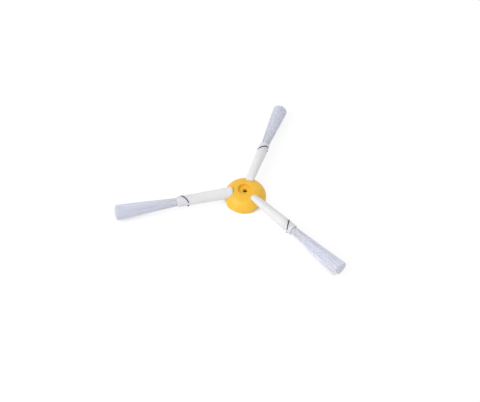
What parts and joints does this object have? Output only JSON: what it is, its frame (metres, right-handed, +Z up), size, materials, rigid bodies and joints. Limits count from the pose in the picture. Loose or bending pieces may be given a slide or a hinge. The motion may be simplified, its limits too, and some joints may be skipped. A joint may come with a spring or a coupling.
{
  "type": "robot vacuum side brush",
  "caption": "Domed plastic hub with a drive socket below and soft white arms spread evenly round it, each ending in a flared bristle tuft that sweeps dust from edges and corners.",
  "frame": {"origin": "on the turning axis at the mouth of the drive socket, in the plane of the hub's bottom rim", "axes": "+Z up along the turning axis, out of the domed face with the fixing hole; one arm points along +X"},
  "size_m": [0.1179, 0.1356, 0.0098],
  "materials": {
    "hub_plastic": "satin moulded yellow",
    "arm_rubber": "soft white, slightly see-through",
    "bristle_nylon": "see-through bluish nylon",
    "staple_wire": "drawn wire"
  },
  "bodies": {
    "root": {"hub": "hub_plastic", "arm_1": "arm_rubber", "arm_2": "arm_rubber", "arm_3": "arm_rubber", "tuft_1": "bristle_nylon", "tuft_2": "bristle_nylon", "tuft_3": "bristle_nylon", "staple_1": "staple_wire", "staple_2": "staple_wire", "staple_3": "staple_wire"}
  },
  "joints": []
}
